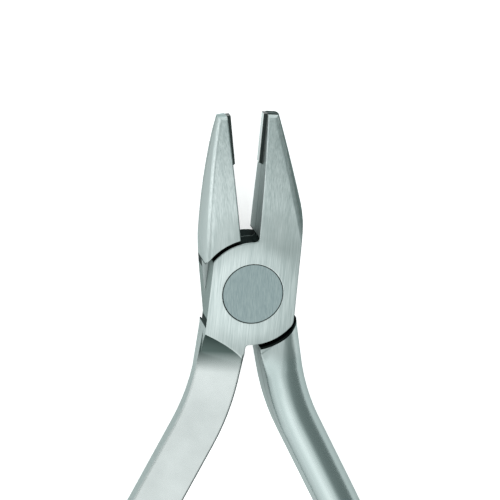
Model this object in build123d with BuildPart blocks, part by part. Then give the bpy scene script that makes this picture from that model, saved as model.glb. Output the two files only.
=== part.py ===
from build123d import *
import os
from math import atan2, cos, degrees, radians, sin, sqrt, tan

# Orthodontic pliers with carbide-tipped jaws, lying flat with the jaws towards +Y.
# The rivet's axis is Z and the origin is where that axis meets the table.
# The back half is the front half's forging turned over about the long axis; the gripping plane
# lies a little to the left of the rivet, so the right jaw is the wider one.

# Lap joint
joint_thickness = 7.0
joint_width = 12.4
plate_radius = 7.45
shoulder_gap = 0.52
lap_gap = 0.04
jaw_opening = 10.6
grip_offset = 0.4
notch_radius = 0.6
plate_corner_radius = 1.6
plate_relief = 0.25

# Rivet
rivet_head_diameter = 8.5
rivet_head_height = 1.4
rivet_shank_diameter = 5.0
rivet_rim_break = 0.06
seat_clearance = 0.01
running_clearance = 0.04
head_clearance = 0.08

# Jaws, measured on the closed pliers
jaw_length = 25.15
jaw_shoulder_radius = 12.0
jaw_foot = 8.0
front_foot_reach = 7.6
back_foot_reach = 6.4
front_bow_radius = 300.0
back_bow_radius = 90.0
barrel_radius = 7.0
shoulder_trim = 0.02
front_tip_reach = 1.8
back_tip_reach = 2.25
jaw_tip_thickness = 2.8
jaw_taper_start = 7.0
jaw_edge_radius = 0.95
jaw_edge_break = 0.12
tip_edge_break = 0.3
tip_overrun = 1.6

# Gripping inserts
insert_thickness = 0.5
insert_length = 7.2
insert_width = 1.5
insert_bevel = 0.25
braze_thickness = 0.06

# Handle, along its middle line
handle_width = 6.0
handle_inset = 0.35
handle_drop = 9.0
front_handle_lean = 7.4
back_handle_lean = 4.2
root_length = 3.9
handle_bend_radius = 33.0
handle_bend_angle = 15.9
handle_shank = 13.0
handle_bow_radius = 95.0
handle_bow_angle = 30.3
handle_tail = 22.0
handle_end_radius = 3.4

# Handle section, heights above and below the lap plane
face_height_inner = 3.3
face_height_outer = 1.8
belt_height = -0.1
crown_offset = 0.6
crown_height = -3.42
inner_back_height = -2.7
inner_draft = 0.35
root_slant = 28.0
root_round = 2.4
root_back_rise = 0.1
root_overlap = 0.15
ramp_length = 4.8
runout_radius = 5.5
runout_slant = 3.0
runout_end = 2.2
runout_depth = 0.05

half_thickness = joint_thickness / 2
flank = joint_width / 2
shoulder_radius = plate_radius + shoulder_gap
half_opening = radians(jaw_opening / 2)
insert_stack = insert_thickness + braze_thickness
insert_start = jaw_length - insert_length
far = 4 * joint_thickness


def handle_section(plane, inner, outer, belt, crown, back):
    """Closed handle section: slanting face, upright outer wall, rounded back, drafted inner wall."""
    centre = (crown[0], belt)
    with BuildSketch(plane) as section:
        with BuildLine():
            Polyline((inner, face_height_inner), (outer, face_height_outer), (outer, belt))
            EllipticalCenterArc(centre, crown[0] - outer, belt - crown[1], start_angle=180, arc_size=90)
            TangentArc(crown, back, tangent=(1, 0))
            Line(back, (inner, face_height_inner))
        make_face()
    return section.sketch


def forged_half(grip_x, tip_reach, foot_reach, bow_radius, handle_lean, bore_play, head_play):
    """One half in the closed position, lap plane on XY, jaw at +X and handle at -X."""
    jaw_relief = grip_x + insert_stack
    flank_reach = sqrt(plate_radius**2 - flank**2)
    plate_flank = flank - plate_relief
    crotch_height = sqrt(plate_radius**2 - jaw_relief**2)
    root_rise = (flank - handle_inset) * tan(radians(root_slant))
    root_inner = Vector(-handle_inset, -handle_drop)
    root_outer = Vector(-flank, root_rise - handle_drop)
    heading = Vector(-sin(radians(handle_lean)), -cos(radians(handle_lean)))
    inward = Vector(cos(radians(handle_lean)), -sin(radians(handle_lean)))
    handle_start = root_inner - inward * (handle_width / 2) + heading * root_length

    with BuildPart() as half:
        # Jaw bar: its outer side is a barrel, bowed in plan, that runs past the tip and past the shoulder
        tip_corner = Vector(tip_reach, jaw_length)
        chord = Vector(foot_reach, jaw_foot) - tip_corner
        outward = Vector(-chord.Y, chord.X).normalized()
        bow_sag = bow_radius - sqrt(bow_radius**2 - chord.length**2 / 4)
        bow_middle = tip_corner + chord * 0.5 + outward * bow_sag
        bow_centre = bow_middle - outward * bow_radius
        barrel_sag = barrel_radius - sqrt(barrel_radius**2 - half_thickness**2)
        inwards = (bow_centre - tip_corner).normalized().rotate(Axis.Z, degrees(tip_overrun / bow_radius))
        bar_plane = Plane(
            origin=bow_centre - inwards * bow_radius, x_dir=inwards, z_dir=inwards.cross(Vector(0, 0, 1))
        )
        with BuildSketch(bar_plane):
            with BuildLine():
                ThreePointArc((barrel_sag, half_thickness), (0, 0), (barrel_sag, -half_thickness))
                Polyline(
                    (barrel_sag, -half_thickness),
                    (far, -half_thickness),
                    (far, half_thickness),
                    (barrel_sag, half_thickness),
                )
            make_face()
        revolve(axis=Axis(bow_centre, (0, 0, -1)), revolution_arc=degrees(2 * far / bow_radius))

        # Jaw thins towards the tip in one long arc on either face
        taper_length = jaw_length - jaw_taper_start
        taper_drop = half_thickness - jaw_tip_thickness / 2
        taper_radius = (taper_length**2 + taper_drop**2) / (2 * taper_drop)
        full_drop = taper_radius - sqrt(taper_radius**2 - (taper_length + tip_overrun) ** 2)
        with BuildSketch(Plane.YZ):
            with BuildLine():
                taper_foot = (jaw_taper_start, half_thickness)
                taper_end = (jaw_length + tip_overrun, half_thickness - full_drop)
                RadiusArc(taper_foot, taper_end, taper_radius)
                Polyline(
                    taper_end,
                    (taper_end[0], joint_thickness),
                    (jaw_taper_start, joint_thickness),
                    taper_foot,
                )
            make_face()
            mirror(about=Plane.XZ)
        extrude(amount=2 * far, both=True, mode=Mode.SUBTRACT)

        # Rounded outer edges of the jaw, which run out by themselves below the shoulder
        jaw_side = half.faces().sort_by_distance(bow_middle)[0]
        fillet(jaw_side.edges().sort_by(SortBy.LENGTH)[-4:], radius=jaw_edge_radius)

        # Outline of jaw and lap plate, down to the slanted root of the handle
        outline_tip = tip_corner + Vector((bow_sag + shoulder_trim) / outward.X, 0)
        shoulder = outline_tip + chord * ((flank - outline_tip.X) / chord.X)
        with BuildSketch(Plane.XY.offset(-half_thickness)) as blank:
            with BuildLine():
                crotch = (jaw_relief, crotch_height)
                top_left = (-plate_flank, sqrt(plate_radius**2 - plate_flank**2))
                bottom_right = (flank, -flank_reach)
                notch = (-handle_inset, -sqrt(plate_radius**2 - handle_inset**2))
                Polyline(crotch, (jaw_relief, jaw_length), outline_tip, shoulder, bottom_right)
                RadiusArc(bottom_right, notch, plate_radius)
                Polyline(notch, root_inner, root_outer, top_left)
                RadiusArc(top_left, crotch, plate_radius)
            make_face()
            fillet(blank.vertices().sort_by_distance(shoulder)[0], radius=jaw_shoulder_radius)
            fillet(blank.vertices().sort_by_distance(notch)[0], radius=notch_radius)
            fillet(blank.vertices().sort_by_distance(crotch)[0], radius=notch_radius)
            fillet(blank.vertices().sort_by_distance(bottom_right)[0], radius=plate_corner_radius)
        extrude(amount=joint_thickness, mode=Mode.INTERSECT)

        # Room for the other half's plate, ending in the concave shoulders
        with BuildSketch(Plane.XY.offset(-half_thickness)):
            Circle(shoulder_radius)
        extrude(amount=half_thickness + lap_gap / 2, mode=Mode.SUBTRACT)

        # Broken edges of the gripping side and the tip
        grip_wall = half.faces().sort_by_distance((jaw_relief, (jaw_length + plate_radius) / 2, 0))[0]
        chamfer(grip_wall.edges().filter_by(GeomType.CIRCLE), length=jaw_edge_break)
        tip_height = jaw_tip_thickness / 2
        with BuildSketch(Plane.YZ):
            with BuildLine():
                Polyline(
                    (jaw_length - 2 * tip_edge_break, tip_height + tip_edge_break),
                    (jaw_length + tip_edge_break, tip_height - 2 * tip_edge_break),
                    (jaw_length + tip_edge_break, tip_height + tip_edge_break),
                    close=True,
                )
            make_face()
            mirror(about=Plane.XZ)
        extrude(amount=far, both=True, mode=Mode.SUBTRACT)

        # Ramp where the handle's slanting face runs out of the joint's flat face
        ramp_base = face_height_outer - root_overlap
        with BuildSketch(Plane.XY.offset(ramp_base)):
            with BuildLine():
                Polyline(
                    root_inner - (inward + heading) * root_overlap,
                    root_outer - heading * root_overlap,
                    root_outer,
                    root_outer + Vector(0, -ramp_length),
                    root_inner - inward * root_overlap + heading * ramp_length,
                    close=True,
                )
            make_face()
        extrude(amount=half_thickness - ramp_base)
        face_slope = atan2(face_height_inner - face_height_outer, handle_width)
        across = inward * -cos(face_slope) + Vector(0, 0, -sin(face_slope))
        upward = across.cross(heading).normalized()
        cutter_axis = across * cos(radians(runout_slant)) - heading * sin(radians(runout_slant))
        cutter_plane = Plane(
            origin=root_inner + heading * runout_end + Vector(0, 0, face_height_inner - runout_depth),
            x_dir=cutter_axis.cross(upward),
            z_dir=-cutter_axis,
        )
        with BuildSketch(cutter_plane):
            with BuildLine():
                RadiusArc((0, 0), (runout_radius, runout_radius), -runout_radius)
                Polyline(
                    (runout_radius, runout_radius),
                    (runout_radius, joint_thickness),
                    (-far, joint_thickness),
                    (-far, 0),
                    (0, 0),
                )
            make_face()
        extrude(amount=far, both=True, mode=Mode.SUBTRACT)

        # Rounded outer corner of the block's back, which the handle's back carries on
        corner_top = root_round - half_thickness
        with BuildSketch(Plane.XZ):
            with BuildLine():
                RadiusArc((root_round - flank, -half_thickness), (-flank, corner_top), root_round)
                Polyline(
                    (-flank, corner_top),
                    (-far, corner_top),
                    (-far, -joint_thickness),
                    (root_round - flank, -joint_thickness),
                    (root_round - flank, -half_thickness),
                )
            make_face()
        extrude(amount=handle_drop, mode=Mode.SUBTRACT)

        # Handle root: the full block turns into the handle's section
        root_middle = (root_inner + root_outer) * 0.5
        root_reach = (root_inner - root_outer).length / 2
        root_plane = Plane(
            origin=root_middle,
            x_dir=(root_inner - root_outer).normalized(),
            z_dir=(root_inner - root_outer).cross(Vector(0, 0, 1)).normalized(),
        )
        start_plane = Plane(origin=handle_start, x_dir=inward, z_dir=heading)
        root_section = handle_section(
            root_plane,
            root_reach,
            -root_reach,
            corner_top,
            (root_round / cos(radians(root_slant)) - root_reach, -half_thickness),
            (root_reach, root_back_rise - half_thickness),
        )
        shank_section = handle_section(
            start_plane,
            handle_width / 2,
            -handle_width / 2,
            belt_height,
            (crown_offset, crown_height),
            (handle_width / 2 - inner_draft, inner_back_height),
        )
        loft([root_section, shank_section])

        # Handle: bends outwards, runs straight, then bows back to its tail
        with BuildLine() as handle_path:
            bend = JernArc(handle_start, heading, handle_bend_radius, -handle_bend_angle)
            shank = Line(bend @ 1, bend @ 1 + (bend % 1) * handle_shank)
            bow = JernArc(shank @ 1, shank % 1, handle_bow_radius, handle_bow_angle)
            tail = Line(bow @ 1, bow @ 1 + (bow % 1) * handle_tail)
        sweep(shank_section, path=handle_path.wires()[0])

        # Rounded end of the handle
        end_plane = Plane(origin=tail @ 1, x_dir=tail % 1, z_dir=(0, 0, 1))
        with BuildSketch(end_plane):
            with Locations((-handle_end_radius, 0)):
                Rectangle(2 * handle_end_radius, 2 * handle_width, align=(Align.MIN, Align.CENTER))
                Circle(handle_end_radius, mode=Mode.SUBTRACT)
        extrude(amount=joint_thickness, both=True, mode=Mode.SUBTRACT)

        # Bore for the rivet, with a seat for its head in the outer face
        with Locations(Plane.XY.offset(half_thickness)):
            CounterBoreHole(
                radius=rivet_shank_diameter / 2 + bore_play,
                counter_bore_radius=rivet_head_diameter / 2 + head_play,
                counter_bore_depth=rivet_head_height + bore_play,
            )
    return half.part


front_seat = Plane(
    origin=(0, 0, half_thickness), x_dir=(cos(half_opening), -sin(half_opening), 0), z_dir=(0, 0, 1)
)
back_seat = Plane(
    origin=(0, 0, half_thickness), x_dir=(-cos(half_opening), -sin(half_opening), 0), z_dir=(0, 0, -1)
)

front_forging = forged_half(
    -grip_offset,
    front_tip_reach,
    front_foot_reach,
    front_bow_radius,
    front_handle_lean,
    running_clearance,
    head_clearance,
)
with BuildPart(front_seat) as front_half:
    add(front_forging)
front_half.part.label = "front_half"

back_forging = forged_half(
    grip_offset,
    back_tip_reach,
    back_foot_reach,
    back_bow_radius,
    back_handle_lean,
    seat_clearance,
    seat_clearance,
)
with BuildPart(back_seat) as back_half:
    add(back_forging)
back_half.part.label = "back_half"


def insert_strip(grip_x):
    """Carbide strip in the closed position: its gripping face is at grip_x, its lower end bevelled."""
    seat_x = grip_x + insert_thickness
    with BuildPart() as strip:
        with BuildSketch(Plane.XY.offset(-insert_width / 2)):
            with BuildLine():
                Polyline(
                    (grip_x, jaw_length),
                    (grip_x, insert_start + insert_bevel),
                    (seat_x, insert_start),
                    (seat_x, jaw_length),
                    close=True,
                )
            make_face()
        extrude(amount=insert_width)
    return strip.part


def braze_layer(grip_x):
    """Thin layer of silver braze between the strip and the jaw."""
    with BuildPart() as layer:
        with BuildSketch(Plane.XY.offset(-insert_width / 2)):
            with Locations((grip_x + insert_thickness, insert_start)):
                Rectangle(braze_thickness, insert_length, align=(Align.MIN, Align.MIN))
        extrude(amount=insert_width)
    return layer.part


right_strip = insert_strip(-grip_offset)
left_strip = insert_strip(grip_offset)
right_layer = braze_layer(-grip_offset)
left_layer = braze_layer(grip_offset)

with BuildPart(front_seat) as right_insert:
    add(right_strip)
right_insert.part.label = "right_insert"

with BuildPart(front_seat) as right_braze:
    add(right_layer)
right_braze.part.label = "right_braze"

with BuildPart(back_seat) as left_insert:
    add(left_strip)
left_insert.part.label = "left_insert"

with BuildPart(back_seat) as left_braze:
    add(left_layer)
left_braze.part.label = "left_braze"

# Rivet with both heads flush: one turns in the front half, the other is upset into the back half
head_radius = rivet_head_diameter / 2
shank_radius = rivet_shank_diameter / 2
with BuildPart() as pivot_rivet:
    with BuildSketch(Plane.XZ):
        with BuildLine():
            Polyline(
                (0, 0),
                (head_radius - rivet_rim_break, 0),
                (head_radius, rivet_rim_break),
                (head_radius, rivet_head_height),
                (shank_radius, rivet_head_height),
                (shank_radius, joint_thickness - rivet_head_height),
                (head_radius, joint_thickness - rivet_head_height),
                (head_radius, joint_thickness - rivet_rim_break),
                (head_radius - rivet_rim_break, joint_thickness),
                (0, joint_thickness),
                close=True,
            )
        make_face()
    revolve(axis=Axis.Z)
pivot_rivet.part.label = "pivot_rivet"

os.makedirs("parts", exist_ok=True)
export_step(front_half.part, "parts/front_half.step")
export_step(back_half.part, "parts/back_half.step")
export_step(pivot_rivet.part, "parts/pivot_rivet.step")
export_step(right_insert.part, "parts/right_insert.step")
export_step(left_insert.part, "parts/left_insert.step")
export_step(right_braze.part, "parts/right_braze.step")
export_step(left_braze.part, "parts/left_braze.step")
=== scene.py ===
from math import radians

import bpy
from mathutils import Matrix, Vector

# Orthodontic pliers lying open on a pale table. Every shape comes from the CAD frame; this file
# gives the steel, the carbide and the braze their surfaces, and adds the light and the camera.

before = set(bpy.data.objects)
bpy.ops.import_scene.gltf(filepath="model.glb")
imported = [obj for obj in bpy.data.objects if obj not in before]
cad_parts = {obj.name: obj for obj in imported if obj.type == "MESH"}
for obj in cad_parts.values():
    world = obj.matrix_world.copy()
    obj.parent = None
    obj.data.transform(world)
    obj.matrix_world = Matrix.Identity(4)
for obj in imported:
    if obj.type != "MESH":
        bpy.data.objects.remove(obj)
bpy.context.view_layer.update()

MM = 0.001

# Places on the pliers, in the frame's own axes
JOINT_THICKNESS = 7.0 * MM
HALF_TURN = 5.3                      # degrees each half is swung open
ROOT_Y = -9.0 * MM                   # where the handles leave the joint
ROOT_BLEND = 2.0 * MM                # to each side of it, ground steel passes into satin
RIVET_RADIUS = 4.25 * MM

# Surface finishes, as real sizes. Real grinding lines are about 0.03 mm wide, too fine to show in the
# render, so they are drawn wider.
GRAIN_WIDTH = 0.11 * MM
GRAIN_LENGTH = 5.0 * MM
GRAIN_DEPTH = 0.0016 * MM
RIVET_GRAIN_LENGTH = 1.2 * MM
STREAK_WIDTH = 0.75 * MM             # broader streaks left by the wheel
STREAK_LENGTH = 16.0 * MM
STREAK_SHARE = 0.2
SATIN_GRIT = 0.16 * MM
MOTTLE_SIZE = 5.0 * MM
EDGE_ROUNDING = 0.14 * MM            # on jaws and joint
HANDLE_ROUNDING = 0.5 * MM
RIVET_SEAM = 0.09 * MM
CROWN_RADIUS = 70 * MM               # the ground faces are a little crowned across
CARD_FIBRE = 2.0 * MM

# Where the finishes lie on each half
TIP_END = 24.3 * MM
GAP_INNER = 7.3 * MM                 # the gap round the lap plates lies between these two radii
GAP_OUTER = 8.1 * MM
RIM_SHADE_REACH = 0.2 * MM                 # how far painted shade reaches from the gap over the shoulder's rim
LAP_DEPTH = 0.12 * MM
LAP_SHADE_FULL = 4.0 * MM                 # painted shade keeps to the middle of the lap faces
LAP_SHADE_GONE = 7.4 * MM
RUNOUT_REACH = 6.0 * MM
RUNOUT_DARK = -8.4 * MM              # the painted shade on the run-out is full down to here
RUNOUT_CLEAR = -11.5 * MM            # and gone from here
PLATE_SKIN = 0.05 * MM               # what lies deeper under the plate's face is run-out or handle
HIGHLIGHT_START = -9.0 * MM             # the painted highlight streak along the handle's back begins here
HIGHLIGHT_FULL = -18.0 * MM
HAZE_START = 5.0 * MM                # oil haze round the joint: radii where it begins, is full and ends
HAZE_FULL = 8.0 * MM
HAZE_FADE = 9.0 * MM
HAZE_END = 14.0 * MM
HAZE_SHARE = (0.25, 0.6)             # least and most of it, from patch to patch

# Which way a surface looks, as a part of its normal: where a finish begins and where it is full
WALL_LEVEL = (0.75, 0.2)
FACE_LEVEL = (0.05, 0.25)
CREST_BEGIN = (-0.3, 0.08)
CREST_END = (0.25, 0.12)
EDGE_TURN = (0.28, 0.52)
HANDLE_EDGE_LIFT = 0.24              # the painted dark edge line reaches further in on the handle
TIP_ENDWISE = 0.85
LAPPED_SIDE = (0.6, 0.9)
DARK_SIDE = (0.91, -0.41)            # way that the handle's inner and the jaw's outer edge look; edges turned this way get painted shade

# Contrast of the noises and roughness of the finishes, least and most
LINE_CONTRAST = (0.36, 0.64)
MOTTLE_CONTRAST = (0.3, 0.7)
BRUSHED_ROUGHNESS = (0.22, 0.42)
SATIN_ROUGHNESS = (0.24, 0.3)
WALL_ROUGHNESS = 0.55
RIVET_ROUGHNESS = (0.26, 0.44)
CARBIDE_ROUGHNESS = (0.3, 0.5)
BRAZE_ROUGHNESS = 0.45
CARD_ROUGHNESS = 0.9

# Camera, read from the photograph
PHOTO_PIXELS = 500
PIXELS_PER_MM = 7.14
CAMERA_DISTANCE = 450 * MM
CAMERA_SIDE = Vector((-0.184, 0.286, 0.94)).normalized()
CAMERA_ROLL = 0.3
PIVOT_PIXEL = (248.2, 286.7)
SENSOR_WIDTH = 36.0


def linear(hex_colour):
    """sRGB hex colour as linear RGBA."""
    parts = [int(hex_colour[i:i + 2], 16) / 255 for i in (1, 3, 5)]
    return tuple(c / 12.92 if c <= 0.04045 else ((c + 0.055) / 1.055) ** 2.4 for c in parts) + (1.0,)


def add_node(tree, kind, inputs=None, **settings):
    """Adds one node, with its settings and with values or links on its inputs."""
    made = tree.nodes.new(kind)
    for name, value in settings.items():
        setattr(made, name, value)
    for socket, value in (inputs or {}).items():
        if isinstance(value, bpy.types.NodeSocket):
            tree.links.new(value, made.inputs[socket])
        else:
            made.inputs[socket].default_value = value
    return made


def new_finish(name):
    """Empty node material; returns it with its tree."""
    finish = bpy.data.materials.new(name)
    finish.use_nodes = True
    finish.node_tree.nodes.clear()
    return finish, finish.node_tree


def ground_stainless_steel(name, turn, face_side, tip_tone):
    """Stainless steel forging, ground along its length on the flats and satin-polished on the handle.

    The eye sees fine lines along the jaws and joint, a smoother sheen on the handle with a painted
    highlight streak along its back, and side walls painted darker as painted shade. Painted shade lies
    nearly black in the gap round the plates and on the shoulder's rim below it, streaky on the lap
    faces, grey on the run-out and the flanks, and along the handle's inner and the jaw's outer edge; a
    thin haze of oil lies round the joint. turn is the half's swing in degrees, face_side is 1 where its
    ground face looks up and -1 where it looks down, and tip_tone is the colour of the jaw's end,
    painted near black on the front half as painted shade.
    """
    finish, tree = new_finish(name)
    place = add_node(tree, "ShaderNodeTexCoord")
    split = add_node(tree, "ShaderNodeSeparateXYZ", {0: place.outputs["Object"]})
    facing = add_node(tree, "ShaderNodeSeparateXYZ", {0: place.outputs["Normal"]})

    # Grinding lines run along the half, fine ones over broader streaks
    along = add_node(
        tree, "ShaderNodeMapping",
        {"Vector": place.outputs["Object"], "Rotation": (0, 0, radians(turn))},
    )
    fine_place = add_node(
        tree, "ShaderNodeMapping",
        {"Vector": along.outputs[0], "Scale": (1 / GRAIN_WIDTH, 1 / GRAIN_LENGTH, 1 / GRAIN_WIDTH)},
    )
    fine = add_node(
        tree, "ShaderNodeTexNoise",
        {"Vector": fine_place.outputs[0], "Scale": 1.0, "Detail": 3.0, "Roughness": 0.65},
    )
    streak_place = add_node(
        tree, "ShaderNodeMapping",
        {"Vector": along.outputs[0], "Scale": (1 / STREAK_WIDTH, 1 / STREAK_LENGTH, 1 / STREAK_WIDTH)},
    )
    streak = add_node(
        tree, "ShaderNodeTexNoise",
        {"Vector": streak_place.outputs[0], "Scale": 1.0, "Detail": 2.0},
    )
    grain = add_node(
        tree, "ShaderNodeMix", {"Factor": STREAK_SHARE, "A": fine.outputs[0], "B": streak.outputs[0]},
    )
    satin = add_node(
        tree, "ShaderNodeTexNoise",
        {"Vector": place.outputs["Object"], "Scale": 1 / SATIN_GRIT, "Detail": 2.0},
    )
    mottle = add_node(
        tree, "ShaderNodeTexNoise",
        {"Vector": place.outputs["Object"], "Scale": 1 / MOTTLE_SIZE, "Detail": 3.0},
    )

    # 1 on jaw and joint, 0 along the handle
    ground = add_node(
        tree, "ShaderNodeMapRange",
        {"Value": split.outputs["Y"], "From Min": ROOT_Y - ROOT_BLEND, "From Max": ROOT_Y + ROOT_BLEND},
        interpolation_type="SMOOTHSTEP",
    )
    # 1 on upright walls, 0 on faces
    level = add_node(tree, "ShaderNodeMath", {0: facing.outputs["Z"]}, operation="ABSOLUTE")
    wall = add_node(
        tree, "ShaderNodeMapRange",
        {"Value": level.outputs[0], "From Min": WALL_LEVEL[0], "From Max": WALL_LEVEL[1]},
        interpolation_type="SMOOTHSTEP",
    )
    # 1 on the rounded back of the handle
    face_way = add_node(
        tree, "ShaderNodeMath", {0: facing.outputs["Z"], 1: face_side}, operation="MULTIPLY",
    )
    backwards = add_node(
        tree, "ShaderNodeMath", {0: face_way.outputs[0], 1: 0.0}, operation="LESS_THAN",
    )
    handle_back = add_node(
        tree, "ShaderNodeMapRange",
        {"Value": ground.outputs[0], "To Min": backwards.outputs[0], "To Max": 0.0},
    )
    # 1 beside the crest of that back, where a painted highlight streak runs
    crest_way = add_node(
        tree, "ShaderNodeMath", {0: facing.outputs["X"], 1: -face_side}, operation="MULTIPLY",
    )
    crest_begin = add_node(
        tree, "ShaderNodeMapRange",
        {"Value": crest_way.outputs[0], "From Min": CREST_BEGIN[0], "From Max": CREST_BEGIN[1]},
    )
    crest_end = add_node(
        tree, "ShaderNodeMapRange",
        {"Value": crest_way.outputs[0], "From Min": CREST_END[0], "From Max": CREST_END[1]},
    )
    highlight_reach = add_node(
        tree, "ShaderNodeMapRange",
        {"Value": split.outputs["Y"], "From Min": HIGHLIGHT_START, "From Max": HIGHLIGHT_FULL},
    )
    painted_highlight = handle_back
    for limit in (crest_begin, crest_end, highlight_reach):
        painted_highlight = add_node(
            tree, "ShaderNodeMath", {0: painted_highlight.outputs[0], 1: limit.outputs[0]}, operation="MULTIPLY",
        )
    # 1 in the gap round the plates
    flat_place = add_node(
        tree, "ShaderNodeCombineXYZ", {"X": split.outputs["X"], "Y": split.outputs["Y"]},
    )
    radius = add_node(tree, "ShaderNodeVectorMath", {0: flat_place.outputs[0]}, operation="LENGTH")
    in_gap = add_node(
        tree, "ShaderNodeMath",
        {0: radius.outputs["Value"], 1: (GAP_INNER + GAP_OUTER) / 2, 2: (GAP_OUTER - GAP_INNER) / 2},
        operation="COMPARE",
    )
    gap = add_node(
        tree, "ShaderNodeMath", {0: in_gap.outputs[0], 1: wall.outputs[0]}, operation="MULTIPLY",
    )
    # 1 on the joint's flanks, which are painted darker as painted shade
    near_rivet = add_node(
        tree, "ShaderNodeMath", {0: radius.outputs["Value"], 1: GAP_INNER}, operation="LESS_THAN",
    )
    flank_shade = add_node(
        tree, "ShaderNodeMapRange", {"Value": wall.outputs[0], "To Max": near_rivet.outputs[0]},
    )
    # 1 on the middle of the lap faces
    lap = add_node(
        tree, "ShaderNodeMath",
        {0: split.outputs["Z"], 1: JOINT_THICKNESS / 2, 2: LAP_DEPTH}, operation="COMPARE",
    )
    aside = add_node(tree, "ShaderNodeMath", {0: split.outputs["X"]}, operation="ABSOLUTE")
    middle = add_node(
        tree, "ShaderNodeMapRange",
        {"Value": aside.outputs[0], "From Min": LAP_SHADE_GONE, "From Max": LAP_SHADE_FULL},
    )
    lap_face = add_node(
        tree, "ShaderNodeMath", {0: lap.outputs[0], 1: middle.outputs[0]}, operation="MULTIPLY",
    )
    # 1 on the rim of the shoulder below the gap, where painted shade widens the gap
    rim_outer = GAP_OUTER + RIM_SHADE_REACH
    by_rim = add_node(
        tree, "ShaderNodeMath",
        {0: radius.outputs["Value"], 1: (GAP_INNER + rim_outer) / 2, 2: (rim_outer - GAP_INNER) / 2},
        operation="COMPARE",
    )
    handle_side = add_node(
        tree, "ShaderNodeMath", {0: split.outputs["Y"], 1: 0.0}, operation="LESS_THAN",
    )
    rim = by_rim
    for limit in (handle_side, backwards):
        rim = add_node(
            tree, "ShaderNodeMath", {0: rim.outputs[0], 1: limit.outputs[0]}, operation="MULTIPLY",
        )
    gap_rim_shade = add_node(
        tree, "ShaderNodeMath", {0: gap.outputs[0], 1: rim.outputs[0]}, operation="MAXIMUM",
    )
    # Painted shade in the gap, on the shoulder's rim and on the lap faces
    painted_shade_mask = add_node(
        tree, "ShaderNodeMath", {0: gap_rim_shade.outputs[0], 1: lap_face.outputs[0]}, operation="MAXIMUM",
    )

    # 1 in the run-out, where the plate drops to the handle's face and painted shade lies, fading out
    # along the handle
    on_face = add_node(
        tree, "ShaderNodeMapRange",
        {"Value": face_way.outputs[0], "From Min": FACE_LEVEL[0], "From Max": FACE_LEVEL[1]},
    )
    root_side = add_node(
        tree, "ShaderNodeMath",
        {0: split.outputs["Y"], 1: ROOT_Y, 2: RUNOUT_REACH}, operation="COMPARE",
    )
    height = add_node(
        tree, "ShaderNodeMath", {0: split.outputs["Z"], 1: JOINT_THICKNESS / 2}, operation="SUBTRACT",
    )
    face_height = add_node(
        tree, "ShaderNodeMath", {0: height.outputs[0], 1: face_side}, operation="MULTIPLY",
    )
    under_plate = add_node(
        tree, "ShaderNodeMath",
        {0: face_height.outputs[0], 1: JOINT_THICKNESS / 2 - PLATE_SKIN}, operation="LESS_THAN",
    )
    runout_fade = add_node(
        tree, "ShaderNodeMapRange",
        {"Value": split.outputs["Y"], "From Min": RUNOUT_CLEAR, "From Max": RUNOUT_DARK},
    )
    runout_shade = runout_fade
    for limit in (root_side, under_plate, on_face):
        runout_shade = add_node(
            tree, "ShaderNodeMath", {0: runout_shade.outputs[0], 1: limit.outputs[0]}, operation="MULTIPLY",
        )

    # Edges broken by hand, more on the handle than on jaw and joint
    rounding = add_node(
        tree, "ShaderNodeMix", {"Factor": ground.outputs[0], "A": HANDLE_ROUNDING, "B": EDGE_ROUNDING},
    )
    soft_edge = add_node(tree, "ShaderNodeBevel", {"Radius": rounding.outputs["Result"]}, samples=8)
    # 1 along the handle's inner edge and the jaw's outer edge, painted dark as painted shade
    edge_way = add_node(
        tree, "ShaderNodeVectorTransform", {0: soft_edge.outputs[0]},
        vector_type="NORMAL", convert_from="WORLD", convert_to="OBJECT",
    )
    sidewards = add_node(
        tree, "ShaderNodeVectorMath",
        {0: edge_way.outputs[0], 1: (DARK_SIDE[0] * face_side, DARK_SIDE[1], 0)},
        operation="DOT_PRODUCT",
    )
    handle_share = add_node(
        tree, "ShaderNodeMapRange",
        {"Value": ground.outputs[0], "To Min": HANDLE_EDGE_LIFT, "To Max": 0.0},
    )
    broken = add_node(
        tree, "ShaderNodeMath",
        {0: sidewards.outputs["Value"], 1: handle_share.outputs[0]}, operation="ADD",
    )
    turned_over = add_node(
        tree, "ShaderNodeMapRange",
        {"Value": broken.outputs[0], "From Min": EDGE_TURN[0], "From Max": EDGE_TURN[1]},
    )
    edge_shade = add_node(
        tree, "ShaderNodeMath",
        {0: turned_over.outputs[0], 1: on_face.outputs[0]}, operation="MULTIPLY",
    )

    # Haze of oil on the steel round the joint, in patches
    outward = add_node(
        tree, "ShaderNodeMapRange",
        {"Value": radius.outputs["Value"], "From Min": HAZE_START, "From Max": HAZE_FULL},
        interpolation_type="SMOOTHSTEP",
    )
    inward = add_node(
        tree, "ShaderNodeMapRange",
        {"Value": radius.outputs["Value"], "From Min": HAZE_END, "From Max": HAZE_FADE},
        interpolation_type="SMOOTHSTEP",
    )
    ring = add_node(
        tree, "ShaderNodeMath", {0: outward.outputs[0], 1: inward.outputs[0]}, operation="MULTIPLY",
    )
    patches = add_node(
        tree, "ShaderNodeMapRange",
        {"Value": mottle.outputs[0], "From Min": MOTTLE_CONTRAST[0], "From Max": MOTTLE_CONTRAST[1],
         "To Min": HAZE_SHARE[0], "To Max": HAZE_SHARE[1]},
    )
    oil_haze = add_node(
        tree, "ShaderNodeMath", {0: ring.outputs[0], 1: patches.outputs[0]}, operation="MULTIPLY",
    )

    # 1 on the end of the jaw, whose tone on the front half is painted shade
    beyond = add_node(
        tree, "ShaderNodeMath", {0: split.outputs["Y"], 1: TIP_END}, operation="GREATER_THAN",
    )
    endwise = add_node(
        tree, "ShaderNodeMath", {0: facing.outputs["Y"], 1: TIP_ENDWISE}, operation="GREATER_THAN",
    )
    tip_end = add_node(
        tree, "ShaderNodeMath", {0: beyond.outputs[0], 1: endwise.outputs[0]}, operation="MULTIPLY",
    )

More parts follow.
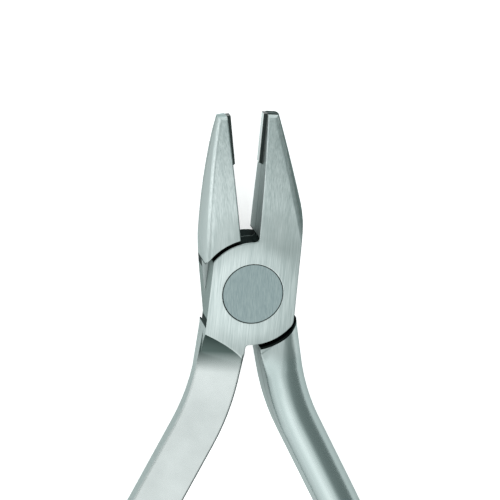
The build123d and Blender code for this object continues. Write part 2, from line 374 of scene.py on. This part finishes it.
    # Bare steel: ground lines alternate between two tones, and the handle's satin is mottled
    lined = add_node(
        tree, "ShaderNodeMapRange",
        {"Value": grain.outputs["Result"], "From Min": LINE_CONTRAST[0], "From Max": LINE_CONTRAST[1]},
    )
    brushed_steel = add_node(
        tree, "ShaderNodeMix",
        {"Factor": lined.outputs[0], "A": linear("#A9B5B4"), "B": linear("#CED7D6")}, data_type="RGBA",
    )
    mottled = add_node(
        tree, "ShaderNodeMapRange",
        {"Value": mottle.outputs[0], "From Min": MOTTLE_CONTRAST[0], "From Max": MOTTLE_CONTRAST[1]},
    )
    satin_steel = add_node(
        tree, "ShaderNodeMix",
        {"Factor": mottled.outputs[0], "A": linear("#ADB3B2"), "B": linear("#B9BFBE")},
        data_type="RGBA",
    )
    coated = add_node(
        tree, "ShaderNodeMix",
        {"Factor": ground.outputs[0], "A": satin_steel.outputs["Result"],
         "B": brushed_steel.outputs["Result"]},
        data_type="RGBA",
    )
    # Coats over it, each with its tone where its mask is 1
    coats = [
        # Walls, flanks, run-out, edges and the front jaw's end get painted shade; the handle's crest a
        # painted highlight
        (oil_haze, "#7F8A88"), (handle_back, "#99A5A4"), (painted_highlight, "#C8D3D2"), (wall, "#A3ACAB"),
        (flank_shade, "#818C8A"), (runout_shade, "#45524F"), (edge_shade, "#56615F"), (tip_end, tip_tone),
    ]
    for mask, tone in coats:
        coated = add_node(
            tree, "ShaderNodeMix",
            {"Factor": mask.outputs[0], "A": coated.outputs["Result"], "B": linear(tone)},
            data_type="RGBA",
        )
    # Painted shade over everything: streaky on the lap faces, nearly black in the gap and on the
    # shoulder's rim
    lap_shade_streaks = add_node(
        tree, "ShaderNodeMix",
        {"Factor": streak.outputs[0], "A": linear("#39413F"), "B": linear("#9AA4A2")}, data_type="RGBA",
    )
    painted_shade_colour = add_node(
        tree, "ShaderNodeMix",
        {"Factor": lap_face.outputs[0], "A": linear("#141918"), "B": lap_shade_streaks.outputs["Result"]},
        data_type="RGBA",
    )
    colour = add_node(
        tree, "ShaderNodeMix",
        {"Factor": painted_shade_mask.outputs[0], "A": coated.outputs["Result"], "B": painted_shade_colour.outputs["Result"]},
        data_type="RGBA",
    )

    # Roughness: lines on the flats, even satin on the handle, matt walls
    brushed = add_node(
        tree, "ShaderNodeMapRange",
        {"Value": grain.outputs["Result"],
         "To Min": BRUSHED_ROUGHNESS[0], "To Max": BRUSHED_ROUGHNESS[1]},
    )
    satined = add_node(
        tree, "ShaderNodeMapRange",
        {"Value": satin.outputs[0], "To Min": SATIN_ROUGHNESS[0], "To Max": SATIN_ROUGHNESS[1]},
    )
    finished = add_node(
        tree, "ShaderNodeMix",
        {"Factor": ground.outputs[0], "A": satined.outputs[0], "B": brushed.outputs[0]},
    )
    roughness = add_node(
        tree, "ShaderNodeMix",
        {"Factor": wall.outputs[0], "A": finished.outputs["Result"], "B": WALL_ROUGHNESS},
    )

    # Relief of the lines, over the broken edges and a slight crown, which falls by x * x / (2 * radius)
    across = add_node(
        tree, "ShaderNodeMath", {0: split.outputs["X"], 1: split.outputs["X"]}, operation="MULTIPLY",
    )
    fall = add_node(
        tree, "ShaderNodeMath", {0: across.outputs[0], 1: -0.5 / CROWN_RADIUS}, operation="MULTIPLY",
    )
    crowned = add_node(
        tree, "ShaderNodeMath", {0: fall.outputs[0], 1: ground.outputs[0]}, operation="MULTIPLY",
    )
    crown = add_node(
        tree, "ShaderNodeBump",
        {"Height": crowned.outputs[0], "Distance": 1.0, "Strength": 1.0,
         "Normal": soft_edge.outputs[0]},
    )
    ridges = add_node(
        tree, "ShaderNodeMath", {0: fine.outputs[0], 1: ground.outputs[0]}, operation="MULTIPLY",
    )
    relief = add_node(
        tree, "ShaderNodeBump",
        {"Height": ridges.outputs[0], "Distance": GRAIN_DEPTH, "Strength": 1.0,
         "Normal": crown.outputs[0]},
    )
    shader = add_node(
        tree, "ShaderNodeBsdfPrincipled",
        {"Base Color": colour.outputs["Result"], "Metallic": 1.0,
         "Specular Tint": linear("#C0C9C8"),
         "Roughness": roughness.outputs["Result"], "Normal": relief.outputs[0]},
    )
    add_node(tree, "ShaderNodeOutputMaterial", {"Surface": shader.outputs[0]})
    return finish


def ground_rivet_steel():
    """Harder, greyer steel of the rivet, ground flush with the joint.

    The eye sees a darker disc with the same upright lines, and a thin dark seam round its rim.
    """
    finish, tree = new_finish("ground_rivet_steel")
    place = add_node(tree, "ShaderNodeTexCoord")
    split = add_node(tree, "ShaderNodeSeparateXYZ", {0: place.outputs["Object"]})
    lines = add_node(
        tree, "ShaderNodeMapping",
        {"Vector": place.outputs["Object"],
         "Scale": (1 / GRAIN_WIDTH, 1 / RIVET_GRAIN_LENGTH, 1 / GRAIN_WIDTH)},
    )
    grain = add_node(
        tree, "ShaderNodeTexNoise",
        {"Vector": lines.outputs[0], "Scale": 1.0, "Detail": 3.0, "Roughness": 0.6},
    )
    flat_place = add_node(
        tree, "ShaderNodeCombineXYZ", {"X": split.outputs["X"], "Y": split.outputs["Y"]},
    )
    radius = add_node(
        tree, "ShaderNodeVectorMath", {0: flat_place.outputs[0]}, operation="LENGTH",
    )
    seam = add_node(
        tree, "ShaderNodeMapRange",
        {"Value": radius.outputs["Value"],
         "From Min": RIVET_RADIUS - RIVET_SEAM, "From Max": RIVET_RADIUS},
        interpolation_type="SMOOTHSTEP",
    )
    lined = add_node(
        tree, "ShaderNodeMapRange",
        {"Value": grain.outputs[0], "From Min": LINE_CONTRAST[0], "From Max": LINE_CONTRAST[1]},
    )
    toned = add_node(
        tree, "ShaderNodeMix",
        {"Factor": lined.outputs[0], "A": linear("#829294"), "B": linear("#97A6A6")},
        data_type="RGBA",
    )
    colour = add_node(
        tree, "ShaderNodeMix",
        {"Factor": seam.outputs[0], "A": toned.outputs["Result"], "B": linear("#3E4846")},
        data_type="RGBA",
    )
    roughness = add_node(
        tree, "ShaderNodeMapRange",
        {"Value": grain.outputs[0], "To Min": RIVET_ROUGHNESS[0], "To Max": RIVET_ROUGHNESS[1]},
    )
    relief = add_node(
        tree, "ShaderNodeBump",
        {"Height": grain.outputs[0], "Distance": GRAIN_DEPTH, "Strength": 1.0},
    )
    shader = add_node(
        tree, "ShaderNodeBsdfPrincipled",
        {"Base Color": colour.outputs["Result"], "Metallic": 1.0,
         "Roughness": roughness.outputs[0], "Normal": relief.outputs[0]},
    )
    add_node(tree, "ShaderNodeOutputMaterial", {"Surface": shader.outputs[0]})
    return finish


def sintered_tungsten_carbide():
    """Tungsten carbide, sintered and diamond-ground, with the gripping face lapped.

    It is dense and nearly black. The eye sees a dark strip along each jaw's edge, and a paler, smoother
    gripping face.
    """
    finish, tree = new_finish("sintered_tungsten_carbide")
    place = add_node(tree, "ShaderNodeTexCoord")
    facing = add_node(tree, "ShaderNodeSeparateXYZ", {0: place.outputs["Normal"]})
    grit = add_node(
        tree, "ShaderNodeTexNoise",
        {"Vector": place.outputs["Object"], "Scale": 1 / SATIN_GRIT, "Detail": 4.0},
    )
    sideways = add_node(tree, "ShaderNodeMath", {0: facing.outputs["X"]}, operation="ABSOLUTE")
    lapped = add_node(
        tree, "ShaderNodeMapRange",
        {"Value": sideways.outputs[0], "From Min": LAPPED_SIDE[0], "From Max": LAPPED_SIDE[1]},
    )
    sintered = add_node(
        tree, "ShaderNodeMix",
        {"Factor": grit.outputs[0], "A": linear("#262C2B"), "B": linear("#3A4341")},
        data_type="RGBA",
    )
    colour = add_node(
        tree, "ShaderNodeMix",
        {"Factor": lapped.outputs[0], "A": sintered.outputs["Result"], "B": linear("#B9C4C3")},
        data_type="RGBA",
    )
    roughness = add_node(
        tree, "ShaderNodeMapRange",
        {"Value": grit.outputs[0], "To Min": CARBIDE_ROUGHNESS[0], "To Max": CARBIDE_ROUGHNESS[1]},
    )
    shader = add_node(
        tree, "ShaderNodeBsdfPrincipled",
        {"Base Color": colour.outputs["Result"], "Metallic": 1.0, "Roughness": roughness.outputs[0]},
    )
    add_node(tree, "ShaderNodeOutputMaterial", {"Surface": shader.outputs[0]})
    return finish


def silver_braze():
    """Silver braze, squeezed out as a hairline: warmer and duller than the steel beside it."""
    finish, tree = new_finish("silver_braze")
    place = add_node(tree, "ShaderNodeTexCoord")
    ripple = add_node(
        tree, "ShaderNodeTexNoise",
        {"Vector": place.outputs["Object"], "Scale": 1 / SATIN_GRIT, "Detail": 2.0},
    )
    colour = add_node(
        tree, "ShaderNodeMix",
        {"Factor": ripple.outputs[0], "A": linear("#6E7370"), "B": linear("#565B58")},
        data_type="RGBA",
    )
    shader = add_node(
        tree, "ShaderNodeBsdfPrincipled",
        {"Base Color": colour.outputs["Result"], "Metallic": 1.0, "Roughness": BRAZE_ROUGHNESS},
    )
    add_node(tree, "ShaderNodeOutputMaterial", {"Surface": shader.outputs[0]})
    return finish


def dress(node_name, finish):
    """Puts a finish on a CAD node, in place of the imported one."""
    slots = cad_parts[node_name].data.materials
    slots.clear()
    slots.append(finish)


carbide = sintered_tungsten_carbide()
braze = silver_braze()
# The front half's jaw end is painted near black as painted shade
dress("front_half", ground_stainless_steel("ground_stainless_steel_front", HALF_TURN, 1, "#202625"))
dress("back_half", ground_stainless_steel("ground_stainless_steel_back", -HALF_TURN, -1, "#AAB7B6"))
dress("pivot_rivet", ground_rivet_steel())
dress("right_insert", carbide)
dress("left_insert", carbide)
dress("right_braze", braze)
dress("left_braze", braze)


# Table top: plain white card, shown to the eye and to the steel as white, with the object's shadow
CARD_GLOW = 0.66


def white_card():
    """White card: matt, with a faint fibre mottle and a glow that lifts it to white."""
    finish, tree = new_finish("white_card")
    place = add_node(tree, "ShaderNodeTexCoord")
    fibre = add_node(
        tree, "ShaderNodeTexNoise",
        {"Vector": place.outputs["Object"], "Scale": 1 / CARD_FIBRE, "Detail": 3.0},
    )
    colour = add_node(
        tree, "ShaderNodeMix",
        {"Factor": fibre.outputs[0], "A": linear("#FAFAFA"), "B": linear("#F8F8F8")},
        data_type="RGBA",
    )
    ray = add_node(tree, "ShaderNodeLightPath")
    seen = add_node(
        tree, "ShaderNodeMath",
        {0: ray.outputs["Is Camera Ray"], 1: ray.outputs["Is Glossy Ray"]}, operation="MAXIMUM",
    )
    shown = add_node(
        tree, "ShaderNodeMath",
        {0: seen.outputs[0], 1: ray.outputs["Is Transmission Ray"]}, operation="MAXIMUM",
    )
    lift = add_node(
        tree, "ShaderNodeMath", {0: shown.outputs[0], 1: CARD_GLOW}, operation="MULTIPLY",
    )
    shader = add_node(
        tree, "ShaderNodeBsdfPrincipled",
        {"Base Color": colour.outputs["Result"], "Roughness": CARD_ROUGHNESS, "Specular IOR Level": 0.0,
         "Emission Color": linear("#FFFFFF"), "Emission Strength": lift.outputs[0]},
    )
    add_node(tree, "ShaderNodeOutputMaterial", {"Surface": shader.outputs[0]})
    return finish


FLOOR_REACH = 3.0                    # metres to each side
floor_mesh = bpy.data.meshes.new("table_top")
floor_mesh.from_pydata(
    [(-FLOOR_REACH, -FLOOR_REACH, 0), (FLOOR_REACH, -FLOOR_REACH, 0),
     (FLOOR_REACH, FLOOR_REACH, 0), (-FLOOR_REACH, FLOOR_REACH, 0)],
    [], [(0, 1, 2, 3)],
)
floor = bpy.data.objects.new("table_top", floor_mesh)
floor_mesh.materials.append(white_card())
bpy.context.scene.collection.objects.link(floor)


# Light: one broad soft ceiling light, up and to the left, in a room that is dim towards its walls.
# Each pair is the cosine of the angle from the light's middle, and the brightness seen there.
CEILING_LIGHT = Vector((-0.28, -0.48, 0.83)).normalized()
ROOM_TONES = [
    (-1.0, 0.5), (0.2, 0.5), (0.43, 0.54), (0.56, 0.64), (0.68, 0.85),
    (0.8, 1.1), (0.87, 1.3), (0.93, 1.4), (1.0, 1.2),
]
TONE_TOP = 2.0
world = bpy.data.worlds.new("studio")
bpy.context.scene.world = world
world.use_nodes = True
room = world.node_tree
room.nodes.clear()
look = add_node(room, "ShaderNodeTexCoord")
nearness = add_node(
    room, "ShaderNodeVectorMath",
    {0: look.outputs["Generated"], 1: CEILING_LIGHT}, operation="DOT_PRODUCT",
)
reach = add_node(
    room, "ShaderNodeMapRange", {"Value": nearness.outputs["Value"], "From Min": -1.0, "From Max": 1.0},
)
tones = add_node(room, "ShaderNodeFloatCurve", {"Value": reach.outputs[0]})
curve = tones.mapping.curves[0]
spots = [((cosine + 1) / 2, tone / TONE_TOP) for cosine, tone in ROOM_TONES]
curve.points[0].location = spots[0]
curve.points[1].location = spots[-1]
for spot in spots[1:-1]:
    curve.points.new(*spot)
tones.mapping.update()
brightness = add_node(
    room, "ShaderNodeMath", {0: tones.outputs[0], 1: TONE_TOP}, operation="MULTIPLY",
)
# Pale walls at the left, behind the jaws and behind the handles: the axis each lies along, where it
# starts and is full, and its brightness
look_split = add_node(room, "ShaderNodeSeparateXYZ", {0: look.outputs["Generated"]})
PALE_WALLS = [("X", -0.84, -0.95, 1.2), ("Y", 0.3, 1.0, 0.8), ("Y", -0.6, -1.0, 0.45)]
for axis, start, end, tone in PALE_WALLS:
    pale = add_node(
        room, "ShaderNodeMapRange",
        {"Value": look_split.outputs[axis], "From Min": start, "From Max": end, "To Max": tone},
    )
    brightness = add_node(
        room, "ShaderNodeMath", {0: brightness.outputs[0], 1: pale.outputs[0]}, operation="ADD",
    )
# The light is white, and the dim parts of the room are faintly green
TINT_DIM = 0.2
TINT_BRIGHT = 1.6
lightness = add_node(
    room, "ShaderNodeMapRange",
    {"Value": brightness.outputs[0], "From Min": TINT_DIM, "From Max": TINT_BRIGHT},
)
tint = add_node(
    room, "ShaderNodeMix",
    {"Factor": lightness.outputs[0], "A": linear("#CCE0DD"), "B": linear("#FFFFFF")}, data_type="RGBA",
)
glow = add_node(
    room, "ShaderNodeBackground",
    {"Color": tint.outputs["Result"], "Strength": brightness.outputs[0]},
)
add_node(room, "ShaderNodeOutputWorld", {"Surface": glow.outputs[0]})


# A broad lamp in the middle of the ceiling light gives the table its soft shadow
LAMP_DISTANCE = 1.2
LAMP_WIDTH = 0.8
LAMP_POWER = 1.0
lamp_data = bpy.data.lights.new("ceiling_lamp", "AREA")
lamp_data.size = LAMP_WIDTH
lamp_data.energy = LAMP_POWER
lamp = bpy.data.objects.new("ceiling_lamp", lamp_data)
lamp.location = CEILING_LIGHT * LAMP_DISTANCE
lamp.rotation_euler = CEILING_LIGHT.to_track_quat("Z", "Y").to_euler()
bpy.context.scene.collection.objects.link(lamp)


# Camera: square on the pivot's line of sight, moved so that the pivot falls on its pixel
right_way = Vector((0, 1, 0)).cross(CAMERA_SIDE).normalized()
up_way = CAMERA_SIDE.cross(right_way)
roll = Matrix.Rotation(radians(CAMERA_ROLL), 3, CAMERA_SIDE)
right_way = roll @ right_way
up_way = roll @ up_way
mm_right = (PHOTO_PIXELS / 2 - PIVOT_PIXEL[0]) / PIXELS_PER_MM
mm_up = (PIVOT_PIXEL[1] - PHOTO_PIXELS / 2) / PIXELS_PER_MM
aim = Vector((0, 0, JOINT_THICKNESS / 2)) + (right_way * mm_right + up_way * mm_up) * MM
camera_data = bpy.data.cameras.new("photo_view")
camera_data.sensor_width = SENSOR_WIDTH
camera_data.lens = SENSOR_WIDTH * CAMERA_DISTANCE * PIXELS_PER_MM / (PHOTO_PIXELS * MM)
camera_data.clip_start = 0.01
camera = bpy.data.objects.new("photo_view", camera_data)
camera.matrix_world = Matrix.Translation(aim + CAMERA_SIDE * CAMERA_DISTANCE) @ Matrix(
    (right_way, up_way, CAMERA_SIDE)
).transposed().to_4x4()
bpy.context.scene.collection.objects.link(camera)
bpy.context.scene.camera = camera

bpy.context.scene.view_settings.view_transform = "Standard"
